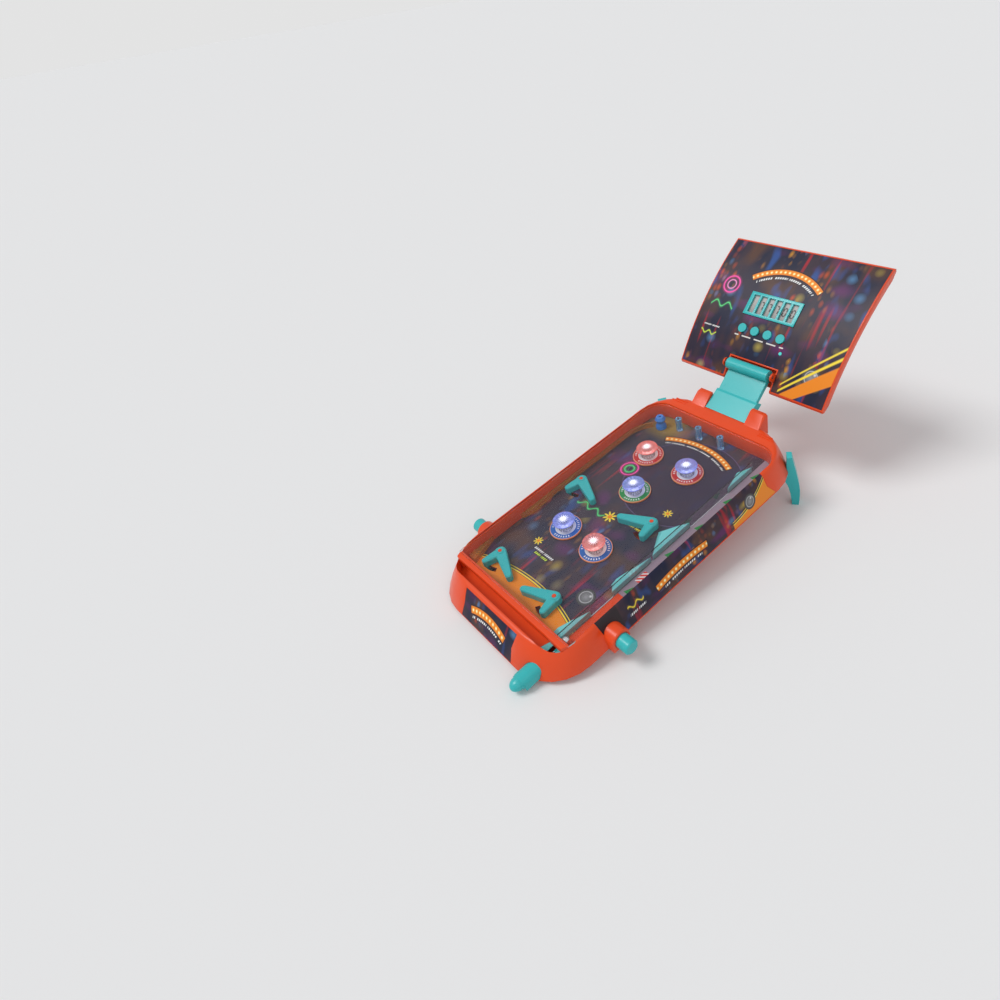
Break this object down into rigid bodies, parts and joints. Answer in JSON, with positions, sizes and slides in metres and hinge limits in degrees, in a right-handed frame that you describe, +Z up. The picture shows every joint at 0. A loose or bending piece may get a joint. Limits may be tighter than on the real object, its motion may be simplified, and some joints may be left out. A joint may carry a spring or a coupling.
{
  "type": "tabletop pinball game",
  "caption": "Tabletop pinball toy with side flipper buttons, pull plunger, mushroom bumpers under a clear cover, claw legs and a tilting score board",
  "frame": {"origin": "middle of the front foot's rest face, on the table", "axes": "+X to the player's right, +Y away from the player along the playing field, +Z up; the field leans back at 7.5 degrees"},
  "size_m": [0.314, 0.6703, 0.2887],
  "materials": {
    "orange_plastic": "moulded, satin",
    "teal_plastic": "moulded, satin",
    "printed_panel": "printed film on plastic",
    "clear_plastic": "clear moulded plastic",
    "amber_plastic": "tinted moulded plastic",
    "red_clear_plastic": "tinted moulded plastic, lit",
    "blue_clear_plastic": "tinted moulded plastic, lit",
    "red_ring": "printed",
    "green_ring": "printed",
    "blue_ring": "printed",
    "blue_plastic": "moulded",
    "steel": "polished",
    "rubber": "moulded",
    "dark_plastic": "moulded",
    "circuit_green": "solder mask"
  },
  "bodies": {
    "body": {"housing": "orange_plastic", "bottom_cover": "orange_plastic", "battery_door": "orange_plastic", "front_foot": "rubber", "playfield": "printed_panel", "top_cover": "clear_plastic", "front_panel": "printed_panel", "left_panel": "printed_panel", "right_panel": "printed_panel", "apron": "orange_plastic", "lane_floor": "orange_plastic", "corner_plate": "teal_plastic", "lane_divider": "clear_plastic", "left_front_guide": "amber_plastic", "left_rail": "amber_plastic", "right_front_guide": "teal_plastic", "right_lower_guide": "teal_plastic", "right_middle_guide": "teal_plastic", "right_upper_guide": "teal_plastic", "bumper_ring_1": "red_ring", "bumper_ring_2": "red_ring", "bumper_ring_3": "green_ring", "bumper_ring_4": "blue_ring", "bumper_ring_5": "blue_ring", "bumper_cap_1": "red_clear_plastic", "bumper_cap_2": "blue_clear_plastic", "bumper_cap_3": "blue_clear_plastic", "bumper_cap_4": "blue_clear_plastic", "bumper_cap_5": "red_clear_plastic", "corner_post": "blue_plastic", "rear_post_1": "clear_plastic", "rear_post_2": "clear_plastic", "rear_post_3": "clear_plastic", "left_spring": "steel", "right_spring": "steel", "plunger_spring": "steel", "left_leg": "teal_plastic", "right_leg": "teal_plastic", "bracket": "teal_plastic", "hinge_pin": "steel"},
    "left_button_slide": {"left_slider": "dark_plastic", "left_button": "teal_plastic"},
    "right_button_slide": {"right_slider": "dark_plastic", "right_button": "teal_plastic"},
    "left_lower_flipper": {"left_lower_flipper": "teal_plastic"},
    "left_upper_flipper": {"left_upper_flipper": "teal_plastic"},
    "right_lower_flipper": {"right_lower_flipper": "teal_plastic"},
    "right_upper_flipper": {"right_upper_flipper": "teal_plastic"},
    "plunger": {"plunger": "teal_plastic"},
    "ball": {"ball": "steel"},
    "score_board": {"board_front": "printed_panel", "board_back": "orange_plastic", "display_bezel": "teal_plastic", "display_pane": "dark_plastic", "circuit_board": "circuit_green"},
    "score_key_1": {"score_key_1": "teal_plastic"},
    "score_key_2": {"score_key_2": "teal_plastic"},
    "score_key_3": {"score_key_3": "teal_plastic"},
    "score_key_4": {"score_key_4": "teal_plastic"}
  },
  "joints": [
    {"name": "left_button_press", "type": "slide", "parent": "body", "child": "left_button_slide", "axis": [1, 0, 0], "range_m": [0, 0.0145], "stiffness_N_per_m": 120, "springref_m": -0.004, "deforming": ["left_spring"]},
    {"name": "right_button_press", "type": "slide", "parent": "body", "child": "right_button_slide", "axis": [-1, 0, 0], "range_m": [0, 0.0145], "stiffness_N_per_m": 120, "springref_m": -0.004, "deforming": ["right_spring"]},
    {"name": "left_lower_flipper_swing", "type": "hinge", "parent": "body", "child": "left_lower_flipper", "pos_m": [-0.07969, 0.07789, 0.02829], "axis": [0, -0.1305, 0.9914], "range_deg": [0, 36.01]},
    {"name": "left_upper_flipper_swing", "type": "hinge", "parent": "body", "child": "left_upper_flipper", "pos_m": [-0.09229, 0.24041, 0.04968], "axis": [0, -0.1305, 0.9914], "range_deg": [0, 36.01]},
    {"name": "right_lower_flipper_swing", "type": "hinge", "parent": "body", "child": "right_lower_flipper", "pos_m": [0.03733, 0.0771, 0.02818], "axis": [0, 0.1305, -0.9914], "range_deg": [0, 36.01]},
    {"name": "right_upper_flipper_swing", "type": "hinge", "parent": "body", "child": "right_upper_flipper", "pos_m": [0.0482, 0.24058, 0.04971], "axis": [0, 0.1305, -0.9914], "range_deg": [0, 36.01]},
    {"name": "plunger_pull", "type": "slide", "parent": "body", "child": "plunger", "axis": [0, -0.9914, -0.1305], "range_m": [0, 0.015], "stiffness_N_per_m": 200, "springref_m": -0.004, "deforming": ["plunger_spring"]},
    {"name": "ball_roll", "type": "slide", "parent": "body", "child": "ball", "axis": [0, 0.9914, 0.1305], "range_m": [0, 0.35]},
    {"name": "score_board_tilt", "type": "hinge", "parent": "body", "child": "score_board", "pos_m": [0, 0.49877, 0.15703], "axis": [1, 0, 0], "range_deg": [-20, 50]},
    {"name": "score_key_1_press", "type": "slide", "parent": "score_board", "child": "score_key_1", "axis": [0, 0.7975, -0.6034], "range_m": [0, 0.0015], "stiffness_N_per_m": 300, "springref_m": -0.001},
    {"name": "score_key_2_press", "type": "slide", "parent": "score_board", "child": "score_key_2", "axis": [0, 0.7975, -0.6034], "range_m": [0, 0.0015], "stiffness_N_per_m": 300, "springref_m": -0.001},
    {"name": "score_key_3_press", "type": "slide", "parent": "score_board", "child": "score_key_3", "axis": [0, 0.7975, -0.6034], "range_m": [0, 0.0015], "stiffness_N_per_m": 300, "springref_m": -0.001},
    {"name": "score_key_4_press", "type": "slide", "parent": "score_board", "child": "score_key_4", "axis": [0, 0.7975, -0.6034], "range_m": [0, 0.0015], "stiffness_N_per_m": 300, "springref_m": -0.001}
  ],
  "couplings": [
    {"joint": "left_lower_flipper_swing", "follows": "left_button_press", "rad_per_m": 43.332},
    {"joint": "left_upper_flipper_swing", "follows": "left_button_press", "rad_per_m": 43.332},
    {"joint": "right_lower_flipper_swing", "follows": "right_button_press", "rad_per_m": 43.332},
    {"joint": "right_upper_flipper_swing", "follows": "right_button_press", "rad_per_m": 43.332}
  ]
}
